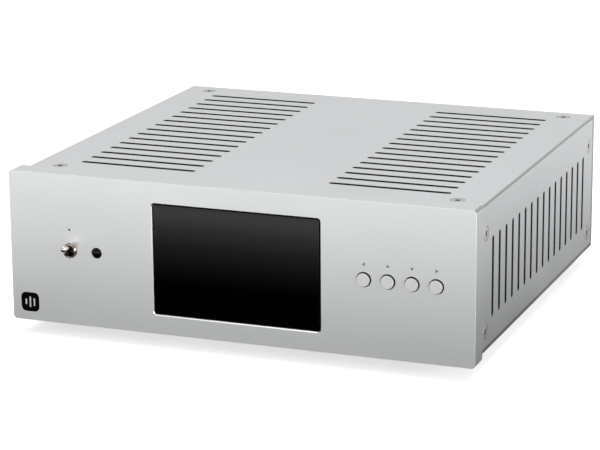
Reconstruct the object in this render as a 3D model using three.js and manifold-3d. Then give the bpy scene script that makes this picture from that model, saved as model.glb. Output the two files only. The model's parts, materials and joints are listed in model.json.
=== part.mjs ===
// Desktop digital-to-analogue converter, in millimetres, +Z up.
// The origin is under the middle of the object, on the surface it stands on.
// Inside the "case" group y = 0 is the front plate's face, +Y runs to the back,
// and z = 0 is the front plate's lower edge.
import * as THREE from 'three';
import { mergeVertices } from 'three/addons/utils/BufferGeometryUtils.js';
import Module from 'manifold-3d';

const wasm = await Module();
wasm.setup();

// ---- driving dimensions -------------------------------------------------
const PLATE_WIDTH = 206;
const PLATE_HEIGHT = 65.3;
const PLATE_DEPTH = 10;
const PLATE_CORNER = 1.8;
const PLATE_BEVEL = 0.2;
const FOOT_DROP = 6.7;

const CASE_HALF = 101;
const CASE_BACK = 191.2;
const CASE_TOP = 63.6;
const CASE_BOTTOM = 1.1;
const SEAM = 0.2;
const COVER_T = 1;
const BASE_T = 1.5;
const SIDE_T = 2;
const REAR_T = 3;
const SHEET_T = 1.5;
const OVERSHOOT = 1;

const SLOT_COUNT = 16;
const SLOT_PITCH = 9.5;
const SLOT_WIDTH = 2.4;
const SLOT_MIDDLE_Y = 101;
const TOP_SLOT_LENGTH = 52.8;
const TOP_SLOT_X = 56.6;
const SIDE_SLOT_LENGTH = 34;
const SIDE_SLOT_Z = 30.5;

const SCREW_FRONT_Y = 20.2;
const SCREW_BACK_Y = 181.8;
const COVER_SCREW_X = 88.7;
const SIDE_SCREW_Z = [9.4, 50.8];
const REAR_SCREW_X = 93;
const REAR_SCREW_Z = [9, 55.6];
const SCREW_HEAD_R = 2.95;
const SCREW_SHANK_R = 1.5;
const SCREW_LENGTH = 6;
const SCREW_RIM = 0.15;
const SCREW_EDGE = 0.05;
const SCREW_CLEARANCE = 0.1;
const HEX_R = 1.05;
const HEX_DEPTH = 1.2;

const KEY_Z = 32.7;
const TOGGLE_Z = 32.45;
const WINDOW_WIDTH = 74.25;
const WINDOW_HEIGHT = 47.8;
const WINDOW_Z = 32.25;
const WINDOW_CORNER = 1.2;
const GLASS_GAP = 0.35;
const GLASS_Y = [0.25, 2.1];
const TOGGLE_X = -75.3;
const TOGGLE_PIVOT_Y = 3.6;
const TOGGLE_TILT = 12.5;
const TOGGLE_REACH = 11.1;
const TOGGLE_TIP_R = 1.375;
const LEVER_BALL_R = 1.9;
const LEVER_NECK_R = 0.95;
const LEVER_TAIL_R = 0.8;
const BUSHING_R = 2.95;
const BUSHING_BORE_R = 2.35;
const BUSHING_HOLE_R = 3.1;
const SWITCH_HALF_WIDTH = 3.4;
const SWITCH_HALF_HEIGHT = 6.4;
const STATUS_Z = 41.5;
const STATUS_PIPE_R = 0.42;
const STATUS_HOLE_R = 0.5;
const DOME_X = -62.9;
const DOME_R = 2.2;
const DOME_CROWN = 0.9;
const DOME_HOLE_R = 2.35;
const KEY_COUNT = 4;
const KEY_GROUP_X = 71.25;
const KEY_PITCH = 10.24;
const KEY_R = 2.8;
const KEY_BEVEL = 0.1;
const KEY_HOLE_R = 3.15;
const KEY_PROUD = 1;
const KEY_FLANGE_R = 3.9;
const KEY_PLUNGER_R = 1.5;
const KEY_POCKET_Y = 6;
const KEY_POCKET_HALF_HEIGHT = 5.2;
const KEY_POCKET_MARGIN = 5;

const LOWER_ROW_Z = 18;
const UPPER_ROW_Z = 43;
const BALANCED_Z = 32;
const BALANCED_R = 11.8;
const PHONO_R = 5.8;
const SOCKET_REACH = 9.3;
const SOCKET_GAP = 0.3;
const INLET_NOSE_R = 4.2;
const USB_HALF = [6, 5.5];
const LINK_HALF = [7.5, 2.8];
const OPTICAL_HALF = 5.4;

const BOARD_T = 1.6;
const MAIN_BOARD_Z = 8.6;
const MAIN_BOARD_TOP = MAIN_BOARD_Z + BOARD_T;

const ROUND = 16;
const SCREW_ROUND = 12;
const TILT_RADIANS = THREE.MathUtils.degToRad(TOGGLE_TILT);
const TIP_FRONT = TOGGLE_REACH * Math.cos(TILT_RADIANS) - TOGGLE_PIVOT_Y;
const FRONT_Y = TIP_FRONT - (TIP_FRONT + CASE_BACK + SOCKET_REACH) / 2;

// ---- materials ----------------------------------------------------------
const finish = (color, metalness, roughness) =>
  new THREE.MeshStandardMaterial({ color, metalness, roughness });

const FINISH = {
  silver: () => finish(0xd2d4d6, 0.9, 0.45),
  sheet: () => finish(0xc8cbce, 0.8, 0.5),
  steel: () => finish(0xa9abad, 0.9, 0.4),
  nickel: () => finish(0xcfc4b4, 1, 0.15),
  glass: () => finish(0x060607, 0, 0.05),
  gloss: () => finish(0x0b0b0c, 0, 0.12),
  black: () => finish(0x17181a, 0, 0.6),
  rubber: () => finish(0x1b1b1c, 0, 0.85),
  board: () => finish(0x123f2a, 0, 0.5),
  gold: () => finish(0xd8b35c, 1, 0.25),
  fins: () => finish(0x1c1d1f, 0.7, 0.5),
  sleeve: () => finish(0x23262b, 0, 0.4),
};

// ---- solids -------------------------------------------------------------
function solid(geometry) {
  const bare = geometry.clone();
  bare.deleteAttribute('normal');
  bare.deleteAttribute('uv');
  const merged = mergeVertices(bare, 1e-4);
  const vertProperties = new Float32Array(merged.attributes.position.array);
  const triVerts = new Uint32Array(merged.index.array);
  return new wasm.Manifold(new wasm.Mesh({ numProp: 3, vertProperties, triVerts }));
}

function geometryOf(body) {
  const { vertProperties, triVerts } = body.getMesh();
  const geometry = new THREE.BufferGeometry();
  geometry.setAttribute('position', new THREE.BufferAttribute(vertProperties, 3));
  geometry.setIndex(new THREE.BufferAttribute(triVerts, 1));
  geometry.computeVertexNormals();
  return geometry;
}

const joined = (first, ...rest) => rest.reduce((body, next) => body.add(next), first);
const cut = (first, ...rest) => rest.reduce((body, next) => body.subtract(next), first);

// A box between two corners.
function block(low, high) {
  const [dx, dy, dz] = high.map((value, axis) => value - low[axis]);
  const box = new THREE.BoxGeometry(dx, dy, dz);
  box.translate(low[0] + dx / 2, low[1] + dy / 2, low[2] + dz / 2);
  return solid(box);
}

// A turned body about the Y axis, from [radius, y] points that go up its outside.
function turned(profile, segments = ROUND) {
  const points = profile.map(([radius, y]) => new THREE.Vector2(radius, y));
  return solid(new THREE.LatheGeometry(points, segments));
}

// A round rod along Y, from its axis' x and z and its two ends.
function rodY(radius, x, y0, y1, z, segments = ROUND) {
  const rod = new THREE.CylinderGeometry(radius, radius, y1 - y0, segments);
  rod.translate(x, (y0 + y1) / 2, z);
  return solid(rod);
}

// A round rod along Z.
function rodZ(radius, x, y, z0, z1, segments = ROUND) {
  const rod = new THREE.CylinderGeometry(radius, radius, z1 - z0, segments);
  rod.rotateX(Math.PI / 2);
  rod.translate(x, y, (z0 + z1) / 2);
  return solid(rod);
}

// A rectangle outline with rounded corners, centred on the origin.
function roundedRectangle(width, height, radius, segments = 4) {
  const shape = new THREE.Shape();
  const corners = [[1, 1, 0], [-1, 1, 1], [-1, -1, 2], [1, -1, 3]];
  const points = [];
  for (const [sx, sy, quarter] of corners) {
    for (let step = 0; step <= segments; step += 1) {
      const angle = (quarter + step / segments) * Math.PI / 2;
      points.push(new THREE.Vector2(
        sx * (width / 2 - radius) + radius * Math.cos(angle),
        sy * (height / 2 - radius) + radius * Math.sin(angle),
      ));
    }
  }
  shape.setFromPoints(points);
  return shape;
}

// An outline in the X-Z plane, made into a slab that runs back from y0 to y1.
function slabY(shape, x, y0, y1, z, bevel = 0) {
  const slab = new THREE.ExtrudeGeometry(shape, {
    depth: y1 - y0 - 2 * bevel,
    curveSegments: 4,
    bevelEnabled: bevel > 0,
    bevelThickness: bevel,
    bevelSize: bevel,
    bevelOffset: -bevel,
    bevelSegments: 1,
  });
  slab.translate(0, 0, bevel);
  slab.rotateX(Math.PI / 2);
  slab.translate(x, y1, z);
  return solid(slab);
}

// A slot with round ends, cut through a plate: length along +X, depth along Z.
function slotCutter(length, depth) {
  const outline = roundedRectangle(length, SLOT_WIDTH, SLOT_WIDTH / 2, 2);
  const slot = new THREE.ExtrudeGeometry(outline, { depth, bevelEnabled: false });
  slot.translate(0, 0, -depth / 2);
  return slot;
}

const slotY = (index) => SLOT_MIDDLE_Y + (index - (SLOT_COUNT - 1) / 2) * SLOT_PITCH;

// ---- countersunk screws -------------------------------------------------
// Head face at the origin, shank along -Y in the screw's own frame.
function screwBody() {
  const cone = SCREW_HEAD_R - SCREW_SHANK_R;
  const body = turned([
    [0, 0], [SCREW_HEAD_R - SCREW_EDGE, 0], [SCREW_HEAD_R, -SCREW_RIM],
    [SCREW_SHANK_R, -SCREW_RIM - cone], [SCREW_SHANK_R, -SCREW_LENGTH], [0, -SCREW_LENGTH],
  ].reverse(), SCREW_ROUND);
  const socket = rodY(HEX_R, 0, -HEX_DEPTH, OVERSHOOT, 0, 6);
  return cut(body, socket);
}

// The room that a screw needs in the sheet under its head, with clearance all round.
function screwSeat() {
  const top = SCREW_HEAD_R + SCREW_CLEARANCE;
  const hole = SCREW_SHANK_R + SCREW_CLEARANCE;
  return new THREE.LatheGeometry([
    [0, -SCREW_LENGTH], [hole, -SCREW_LENGTH], [hole, -SCREW_RIM - (top - hole)],
    [top, -SCREW_RIM], [top, OVERSHOOT], [0, OVERSHOOT],
  ].map(([radius, y]) => new THREE.Vector2(radius, y)), SCREW_ROUND);
}

// Places of all screws: name, position and the direction that the head faces.
function screwPlaces() {
  const places = [];
  const ends = [['front', SCREW_FRONT_Y], ['back', SCREW_BACK_Y]];
  const sides = [['left', -1], ['right', 1]];
  for (const [side, sign] of sides) {
    for (const [end, y] of ends) {
      places.push({
        name: `cover_screw_${end}_${side}`, facing: [0, 0, 1],
        at: [sign * COVER_SCREW_X, y, CASE_TOP],
      });
      ['lower', 'upper'].forEach((level, index) => places.push({
        name: `${side}_screw_${end}_${level}`, facing: [sign, 0, 0],
        at: [sign * CASE_HALF, y, SIDE_SCREW_Z[index]],
      }));
    }
    ['lower', 'upper'].forEach((level, index) => places.push({
      name: `rear_screw_${level}_${side}`, facing: [0, 1, 0],
      at: [sign * REAR_SCREW_X, CASE_BACK, REAR_SCREW_Z[index]],
    }));
  }
  return places;
}

function facingTurn(facing) {
  return new THREE.Quaternion().setFromUnitVectors(
    new THREE.Vector3(0, 1, 0), new THREE.Vector3(...facing),
  );
}

// Cutters for every screw that passes through sheets facing one axis.
function screwSeats(axis, sign = 0) {
  return screwPlaces()
    .filter(({ facing }) => (sign ? facing[axis] === sign : facing[axis] !== 0))
    .map(({ at, facing }) => {
      const seat = screwSeat();
      seat.applyQuaternion(facingTurn(facing));
      seat.translate(...at);
      return solid(seat);
    });
}

// ---- front --------------------------------------------------------------
const keyX = (index) => KEY_GROUP_X + (index - (KEY_COUNT - 1) / 2) * KEY_PITCH;

function frontPlate() {
  const outline = roundedRectangle(PLATE_WIDTH, PLATE_HEIGHT, PLATE_CORNER);
  const plate = slabY(outline, 0, 0, PLATE_DEPTH, PLATE_HEIGHT / 2, PLATE_BEVEL);
  const windowOutline = roundedRectangle(WINDOW_WIDTH, WINDOW_HEIGHT, WINDOW_CORNER, 3);
  const through = [-OVERSHOOT, PLATE_DEPTH + OVERSHOOT];
  const cutters = [
    slabY(windowOutline, 0, ...through, WINDOW_Z),
    rodY(BUSHING_HOLE_R, TOGGLE_X, ...through, TOGGLE_Z),
    rodY(STATUS_HOLE_R, TOGGLE_X, ...through, STATUS_Z, 10),
    rodY(DOME_HOLE_R, DOME_X, ...through, TOGGLE_Z),
  ];
  for (let index = 0; index < KEY_COUNT; index += 1) {
    cutters.push(rodY(KEY_HOLE_R, keyX(index), ...through, KEY_Z));
  }
  const halfPocket = KEY_COUNT * KEY_PITCH / 2 + KEY_POCKET_MARGIN;
  cutters.push(block(
    [KEY_GROUP_X - halfPocket, KEY_POCKET_Y, KEY_Z - KEY_POCKET_HALF_HEIGHT],
    [KEY_GROUP_X + halfPocket, PLATE_DEPTH + OVERSHOOT, KEY_Z + KEY_POCKET_HALF_HEIGHT],
  ));
  return cut(plate, ...cutters);
}

function displayWindow() {
  const outline = roundedRectangle(
    WINDOW_WIDTH - 2 * GLASS_GAP, WINDOW_HEIGHT - 2 * GLASS_GAP, WINDOW_CORNER - GLASS_GAP, 3,
  );
  return slabY(outline, 0, ...GLASS_Y, WINDOW_Z);
}

function displayModule() {
  const panel = [36, 23];
  const carrier = [34, 21];
  const slab = ([halfWidth, halfHeight], y0, y1) => block(
    [-halfWidth, y0, WINDOW_Z - halfHeight], [halfWidth, y1, WINDOW_Z + halfHeight],
  );
  return joined(slab(panel, 2.4, 8), slab(carrier, 7.9, PLATE_DEPTH - 0.2));
}

// The bushing's mouth stands out of the plate, and the housing and its lugs lie behind.
function toggleSwitch() {
  const mouth = -1.2;
  const boreEnd = 9;
  const bushingEnd = 12.6;
  const housingEnd = 21.5;
  const lugEnd = 26;
  const edge = 0.2;
  const bushing = turned([
    [0, boreEnd], [BUSHING_BORE_R, boreEnd], [BUSHING_BORE_R, mouth], [BUSHING_R - edge, mouth],
    [BUSHING_R, mouth + edge], [BUSHING_R, bushingEnd], [0, bushingEnd],
  ]);
  const housing = block(
    [-SWITCH_HALF_WIDTH, bushingEnd - 0.2, -SWITCH_HALF_HEIGHT],
    [SWITCH_HALF_WIDTH, housingEnd, SWITCH_HALF_HEIGHT],
  );
  const lugs = [-4.4, 0, 4.4].map((z) =>
    block([-1, housingEnd - 0.1, z - 0.4], [1, lugEnd, z + 0.4]));
  return joined(bushing, housing, ...lugs);
}

// The lever points along -Y from its ball, which is centred on the pivot.
function toggleLever() {
  const tailEnd = 3.8;
  const profile = [[0, tailEnd], [LEVER_TAIL_R, tailEnd]];
  for (let angle = 65; angle >= -60; angle -= 25) {
    const turn = THREE.MathUtils.degToRad(angle);
    profile.push([LEVER_BALL_R * Math.cos(turn), LEVER_BALL_R * Math.sin(turn)]);
  }
  profile.push([LEVER_NECK_R, -2.2]);
  const tipCentre = TOGGLE_REACH - TOGGLE_TIP_R;
  for (let angle = 0; angle < 90; angle += 30) {
    const turn = THREE.MathUtils.degToRad(angle);
    profile.push([TOGGLE_TIP_R * Math.cos(turn), -tipCentre - TOGGLE_TIP_R * Math.sin(turn)]);
  }
  profile.push([0, -TOGGLE_REACH]);
  return turned(profile.reverse(), 12);
}

function statusLightPipe() {
  return rodY(STATUS_PIPE_R, 0, 0.05, PLATE_DEPTH + 2, 0, 10);
}

function irWindow() {
  const back = PLATE_DEPTH - 0.5;
  const profile = [[0, -DOME_CROWN]];
  for (let step = 1; step <= 4; step += 1) {
    const turn = (step / 4) * (Math.PI / 2);
    profile.push([DOME_R * Math.sin(turn), -DOME_CROWN * Math.cos(turn)]);
  }
  profile.push([DOME_R, back], [0, back]);
  return turned(profile);
}

// The cap's face is at the origin and the plunger runs back along +Y.
function pushButton() {
  const flange = [7.4, 8.4];
  const end = 12.3;
  return turned([
    [0, 0], [KEY_R - KEY_BEVEL, 0], [KEY_R, KEY_BEVEL], [KEY_R, flange[0]],
    [KEY_FLANGE_R, flange[0]], [KEY_FLANGE_R, flange[1]], [KEY_PLUNGER_R, flange[1]],
    [KEY_PLUNGER_R, end], [0, end],
  ]);
}

const FRAME_X = CASE_HALF - SIDE_T - SEAM;
const FRAME_LOW = CASE_BOTTOM + BASE_T + SEAM;
const FRAME_HIGH = CASE_TOP - COVER_T - SEAM;
const FRONT_FRAME_DEPTH = [PLATE_DEPTH + SEAM, 28];
const REAR_FRAME_DEPTH = [174, CASE_BACK - REAR_T - SEAM];

// A folded sheet ring, open along Y, with its flanges against the covers.
function sheetRing([y0, y1]) {
  const outside = block([-FRAME_X, y0, FRAME_LOW], [FRAME_X, y1, FRAME_HIGH]);
  const inside = block(
    [-FRAME_X + SHEET_T, y0 - OVERSHOOT, FRAME_LOW + SHEET_T],
    [FRAME_X - SHEET_T, y1 + OVERSHOOT, FRAME_HIGH - SHEET_T],
  );
  return cut(outside, inside);
}

function frontFrame() {
  const [y0] = FRONT_FRAME_DEPTH;
  const inset = 1;
  const face = block(
    [-FRAME_X + inset, y0, FRAME_LOW + inset],
    [FRAME_X - inset, y0 + SHEET_T, FRAME_HIGH - inset],
  );
  const through = [y0 - OVERSHOOT, y0 + SHEET_T + OVERSHOOT];
  const holes = [
    rodY(BUSHING_R + 0.3, TOGGLE_X, ...through, TOGGLE_Z),
    rodY(2 * STATUS_HOLE_R, TOGGLE_X, ...through, STATUS_Z, 10),
    rodY(DOME_R + 0.4, DOME_X, ...through, TOGGLE_Z),
    block([-12, through[0], 12], [12, through[1], 18]),
  ];
  for (let index = 0; index < KEY_COUNT; index += 1) {
    holes.push(rodY(KEY_PLUNGER_R + 0.7, keyX(index), ...through, KEY_Z, 12));
  }
  const tray = joined(sheetRing(FRONT_FRAME_DEPTH), face);
  return cut(tray, ...holes, ...screwSeats(2), ...screwSeats(0));
}

function rearFrame() {
  const [, y1] = REAR_FRAME_DEPTH;
  const tabs = [];
  for (const side of [-1, 1]) {
    for (const [z0, z1] of [[FRAME_LOW + 0.5, 15], [50, FRAME_HIGH - 0.5]]) {
      const x = [side * 89.5, side * (FRAME_X - 0.5)].sort((a, b) => a - b);
      tabs.push(block([x[0], y1 - SHEET_T, z0], [x[1], y1, z1]));
    }
  }
  const ring = joined(sheetRing(REAR_FRAME_DEPTH), ...tabs);
  return cut(ring, ...screwSeats(2), ...screwSeats(0), ...screwSeats(1));
}

// ---- covers -------------------------------------------------------------
function topCover() {
  const sheet = block(
    [-CASE_HALF, PLATE_DEPTH + SEAM, CASE_TOP - COVER_T], [CASE_HALF, CASE_BACK, CASE_TOP],
  );
  const slots = [];
  for (const side of [-1, 1]) {
    for (let index = 0; index < SLOT_COUNT; index += 1) {
      const slot = slotCutter(TOP_SLOT_LENGTH, 3 * COVER_T);
      slot.translate(side * TOP_SLOT_X, slotY(index), CASE_TOP - COVER_T / 2);
      slots.push(solid(slot));
    }
  }
  return cut(sheet, ...slots, ...screwSeats(2));
}

function sidePanel(side) {
  const x = [side * CASE_HALF, side * (CASE_HALF - SIDE_T)].sort((a, b) => a - b);
  const sheet = block(
    [x[0], PLATE_DEPTH + SEAM, FRAME_LOW], [x[1], CASE_BACK - REAR_T - SEAM, FRAME_HIGH],
  );
  const slots = [];
  for (let index = 0; index < SLOT_COUNT; index += 1) {
    const slot = slotCutter(SIDE_SLOT_LENGTH, 3 * SIDE_T);
    slot.rotateY(Math.PI / 2);
    slot.translate(side * (CASE_HALF - SIDE_T / 2), slotY(index), SIDE_SLOT_Z);
    slots.push(solid(slot));
  }
  return cut(sheet, ...slots, ...screwSeats(0, side));
}

function bottomPlate() {
  const sheet = block(
    [-CASE_HALF, PLATE_DEPTH + SEAM, CASE_BOTTOM], [CASE_HALF, CASE_BACK, CASE_BOTTOM + BASE_T],
  );
  const pillars = [];
  for (const x of [-80, 80]) {
    for (const y of [42, 105, 166]) {
      pillars.push(rodZ(3, x, y, CASE_BOTTOM + BASE_T - 0.2, MAIN_BOARD_Z - 0.1, 10));
    }
  }
  return joined(sheet, ...pillars);
}

const SOCKETS = {
  power_inlet: [84, LOWER_ROW_Z],
  usb_in: [64, LOWER_ROW_Z],
  i2s_in: [64, UPPER_ROW_Z],
  optical_in: [42, LOWER_ROW_Z],
  coaxial_in: [42, UPPER_ROW_Z],
  aes_in: [17, BALANCED_Z],
  line_out_left: [-9, UPPER_ROW_Z],
  line_out_right: [-9, LOWER_ROW_Z + 2],
  balanced_out_left: [-37, BALANCED_Z],
  balanced_out_right: [-70, BALANCED_Z],
};

function rearPanel() {
  const y0 = CASE_BACK - REAR_T;
  const sheet = block([-CASE_HALF, y0, FRAME_LOW], [CASE_HALF, CASE_BACK, FRAME_HIGH]);
  const through = [y0 - OVERSHOOT, CASE_BACK + OVERSHOOT];
  const hole = (name, radius, segments) =>
    rodY(radius, SOCKETS[name][0], ...through, SOCKETS[name][1], segments);
  const opening = (name, halfWidth, low, high) => block(
    [SOCKETS[name][0] - halfWidth, through[0], SOCKETS[name][1] + low],
    [SOCKETS[name][0] + halfWidth, through[1], SOCKETS[name][1] + high],
  );
  const middleOpening = (name, halfWidth, halfHeight) =>
    opening(name, halfWidth + SOCKET_GAP, -halfHeight - SOCKET_GAP, halfHeight + SOCKET_GAP);
  return cut(
    sheet,
    hole('balanced_out_left', BALANCED_R + SOCKET_GAP, 24),
    hole('balanced_out_right', BALANCED_R + SOCKET_GAP, 24),
    hole('aes_in', BALANCED_R + SOCKET_GAP, 24),
    opening('aes_in', 5.3 + SOCKET_GAP, 8, 15 + SOCKET_GAP),
    hole('line_out_left', PHONO_R + SOCKET_GAP),
    hole('line_out_right', PHONO_R + SOCKET_GAP),
    hole('coaxial_in', PHONO_R + SOCKET_GAP),
    hole('power_inlet', INLET_NOSE_R + SOCKET_GAP),
    middleOpening('usb_in', ...USB_HALF),
    middleOpening('i2s_in', ...LINK_HALF),
    middleOpening('optical_in', OPTICAL_HALF, OPTICAL_HALF),
    ...screwSeats(1),
  );
}

// A round foot: its top is at the origin, a little under the bottom plate, and it hangs down.
const FOOT_GAP = 0.1;

function foot() {
  const height = CASE_BOTTOM + FOOT_DROP - FOOT_GAP;
  const body = new THREE.LatheGeometry([
    [0, -height], [8.4, -height], [9.2, -height + 0.8], [10, -0.4], [9.6, 0], [0, 0],
  ].map(([radius, y]) => new THREE.Vector2(radius, y)), ROUND);
  body.rotateX(Math.PI / 2);
  return solid(body);
}

// ---- rear sockets -------------------------------------------------------
// Each socket's origin is on the rear panel's outer face, with +Y pointing out.
const FLANGE_T = 2;

function squareFlange() {
  const flange = slabY(roundedRectangle(26, 31, 3, 3), 0, 0.1, FLANGE_T, 0);
  const rivets = [1, -1].map((side) => rodY(2.6, side * 9.6, 1, FLANGE_T + 0.6, side * 12.2, 12));
  return joined(flange, ...rivets);
}

function balancedOut() {
  const barrel = rodY(BALANCED_R, 0, -18, 1, 0, 24);
  const bowl = rodY(9.4, 0, -12, FLANGE_T + 1, 0, 24);
  const pins = [0, 180, 270].map((angle) => {
    const turn = THREE.MathUtils.degToRad(angle);
    return rodY(1.2, 3.9 * Math.cos(turn), -12.5, -0.5, 3.9 * Math.sin(turn), 8);
  });
  return joined(cut(joined(squareFlange(), barrel), bowl), ...pins);
}

function balancedIn() {
  const barrel = rodY(BALANCED_R, 0, -18, 1, 0, 24);
  const latchHousing = block([-5.2, -12, 8], [5.2, 1, 15]);
  const ringGroove = turned([
    [7.4, -11], [9.6, -11], [9.6, FLANGE_T + 1], [7.4, FLANGE_T + 1], [7.4, -11],
  ]);
  const contacts = [180, 0, 90].map((angle) => {
    const turn = THREE.MathUtils.degToRad(angle);
    return rodY(1.5, 3.9 * Math.cos(turn), -9, FLANGE_T + 1, 3.9 * Math.sin(turn), 8);
  });
  const latchWell = block([-4.4, -9, 10.3], [4.4, FLANGE_T + 1, 14.3]);
  const body = joined(squareFlange(), barrel, latchHousing);
  return cut(body, ringGroove, latchWell, ...contacts);
}

// The push tab that frees the plug, in the same frame as its socket.
function latchTab() {
  const tab = block([-4, -6, 10.7], [4, 3.2, 13.9]);
  const lip = block([-4, 3, 10.7], [4, 4.8, 12.9]);
  return joined(tab, lip);
}

function phonoSocket() {
  const barrel = turned([
    [0, 1.5], [1.65, 1.5], [1.65, 8.6], [3.3, 8.6], [3.3, SOCKET_REACH], [3.9, SOCKET_REACH],
    [4.15, 9], [4.15, 1], [PHONO_R, 1], [PHONO_R, -4], [0, -4],
  ].reverse());
  const rear = block([-5.5, -15, -6], [5.5, -3.5, 6]);
  return joined(barrel, rear);
}

function opticalSocket() {
  const housing = block([-OPTICAL_HALF, -14, -OPTICAL_HALF], [OPTICAL_HALF, 1, OPTICAL_HALF]);
  const mouth = block([-4.7, -10, -4.2], [4.7, 2, 4.2]);
  return cut(housing, mouth);
}

const SHUTTER_HINGE_Z = 3.6;

// The shutter hangs from its hinge line, which is the flap's own X axis.
function opticalShutter() {
  return block([-4.4, -0.4, -7.5], [4.4, 0.4, 0.2]);
}

function usbSocket() {
  const shell = block([-USB_HALF[0], -16, -USB_HALF[1]], [USB_HALF[0], 0.6, USB_HALF[1]]);
  const mouth = block([-4.3, -9, -3.9], [4.3, 2, 3.9]);
  const tongue = block([-2.8, -9.5, -1.6], [2.8, -1, 1.6]);
  return joined(cut(shell, mouth), tongue);
}

function linkSocket() {
  const shell = block([-LINK_HALF[0], -12, -LINK_HALF[1]], [LINK_HALF[0], 0.6, LINK_HALF[1]]);
  const mouth = block([-7, -8, -2.3], [7, 2, 2.3]);
  const tongue = block([-5.2, -8.5, -0.1], [5.2, -1, 0.9]);
  return joined(cut(shell, mouth), tongue);
}

function powerInlet() {
  const housing = block([-4.5, -14, -5.5], [4.5, -3.4, 5.5]);
  const nose = rodY(INLET_NOSE_R, 0, -3.6, 0.5, 0);
  const bore = rodY(2.8, 0, -9, 2, 0, 16);
  const pin = rodY(1, 0, -9.5, -0.5, 0, 10);
  return joined(cut(joined(housing, nose), bore), pin);
}

// ---- inside -------------------------------------------------------------
function frontBoard() {
  const back = 19.2;
  const front = back - BOARD_T;
  const bond = 0.2;
  const clearance = 0.6;
  const board = block([-88, front, 12], [94, back, 52]);
  const halfHole = [SWITCH_HALF_WIDTH + clearance, SWITCH_HALF_HEIGHT + clearance];
  const switchHole = block(
    [TOGGLE_X - halfHole[0], front - OVERSHOOT, TOGGLE_Z - halfHole[1]],
    [TOGGLE_X + halfHole[0], back + OVERSHOOT, TOGGLE_Z + halfHole[1]],
  );
  const parts = [
    block([DOME_X - 3, 12.5, TOGGLE_Z - 3.5], [DOME_X + 3, front + bond, TOGGLE_Z + 3.5]),
    block([TOGGLE_X - 1, 15, STATUS_Z - 0.8], [TOGGLE_X + 1, front + bond, STATUS_Z + 0.8]),
    block([-9, back - bond, 14], [9, back + 2.6, 18]),
    block([20, back - bond, 26], [32, back + 1.4, 38]),
  ];
  for (let index = 0; index < KEY_COUNT; index += 1) {
    const x = keyX(index);
    parts.push(block([x - 3, 13.6, KEY_Z - 3], [x + 3, front + bond, KEY_Z + 3]));
    parts.push(rodY(1.7, x, 12.4, 13.8, KEY_Z, 10));
  }
  return joined(cut(board, switchHole), ...parts);
}

function mainBoard() {
  const board = block([-88, 34, MAIN_BOARD_Z], [88, 184, MAIN_BOARD_TOP]);
  const low = MAIN_BOARD_TOP - 0.2;
  const chips = [
    [-14, 66, 14, 14, 1.6], [12, 66, 10, 10, 1.6], [-40, 148, 12, 8, 2], [-64, 148, 12, 8, 2],
    [30, 146, 16, 10, 2], [-12, 148, 10, 20, 8], [66, 50, 18, 12, 9], [-66, 50, 18, 12, 9],
  ];
  const parts = chips.map(([x, y, dx, dy, height]) =>
    block([x - dx / 2, y - dy / 2, low], [x + dx / 2, y + dy / 2, MAIN_BOARD_TOP + height]));
  for (const x of [-76, -52, 52, 76]) {
    parts.push(rodZ(4, x, 156, low, MAIN_BOARD_TOP + 12, 12));
  }
  parts.push(block([-9, 40, low], [9, 45, MAIN_BOARD_TOP + 4]));
  return joined(board, ...parts);
}

// A flat cable that leaves the front board backwards and drops to the main board.
function ribbonCable() {
  const thickness = 0.8;
  const halfWidth = 7;
  const start = new THREE.Vector2(22, 16);
  const end = new THREE.Vector2(39.8, MAIN_BOARD_TOP + 2);
  const route = new THREE.CubicBezierCurve(
    start, new THREE.Vector2(34, 16), new THREE.Vector2(28, end.y), end,
  );
  const points = route.getPoints(10);
  const edge = (side) => points.map((point, index) => {
    const tangent = route.getTangent(index / 10);
    return new THREE.Vector2(
      point.x - side * tangent.y * thickness / 2, point.y + side * tangent.x * thickness / 2,
    );
  });
  const shape = new THREE.Shape([...edge(1), ...edge(-1).reverse()]);
  const cable = new THREE.ExtrudeGeometry(shape, { depth: 2 * halfWidth, bevelEnabled: false });
  const axes = [[0, 1, 0], [0, 0, 1], [1, 0, 0]].map((axis) => new THREE.Vector3(...axis));
  cable.applyMatrix4(new THREE.Matrix4().makeBasis(...axes));
  return { cable, halfWidth };
}

function reservoirCapacitor() {
  const can = new THREE.LatheGeometry([
    [0, 0], [10.6, 0], [11, 0.6], [11, 3.4], [10.3, 4.2], [11, 5], [11, 29.2], [10.2, 30],
    [0, 30],
  ].map(([radius, y]) => new THREE.Vector2(radius, y)), ROUND);
  can.rotateX(Math.PI / 2);
  return solid(can);
}

function heatSink() {
  const width = 44;
  const height = 28;
  const halfLength = 32;
  const baseT = 4;
  const fins = 8;
  const finT = 1.8;
  const shape = new THREE.Shape();
  const spacing = (width - finT) / (fins - 1);
  const points = [[-width / 2, 0], [width / 2, 0]];
  for (let index = fins - 1; index >= 0; index -= 1) {
    const left = -width / 2 + index * spacing;
    points.push([left + finT, height], [left, height]);
    if (index > 0) {
      points.push([left, baseT], [left - spacing + finT, baseT]);
    }
  }
  shape.setFromPoints(points.map(([x, z]) => new THREE.Vector2(x, z)));
  return slabY(shape, 0, -halfLength, halfLength, 0);
}

function shieldCan() {
  const half = [24, 14];
  const height = 9;
  const wall = 0.8;
  const outside = block([-half[0], -half[1], 0], [half[0], half[1], height]);
  const inside = block(
    [-half[0] + wall, -half[1] + wall, -OVERSHOOT], [half[0] - wall, half[1] - wall, height - wall],
  );
  return cut(outside, inside);
}

// ---- assembly -----------------------------------------------------------
const group = new THREE.Group();
const caseGroup = new THREE.Group();
caseGroup.position.set(0, FRONT_Y, FOOT_DROP);
group.add(caseGroup);

function place(name, body, material, [x, y, z] = [0, 0, 0]) {
  const geometry = body.isBufferGeometry ? body : geometryOf(body);
  const mesh = new THREE.Mesh(geometry, material());
  mesh.name = name;
  mesh.position.set(x, y, z);
  caseGroup.add(mesh);
  return mesh;
}

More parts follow.
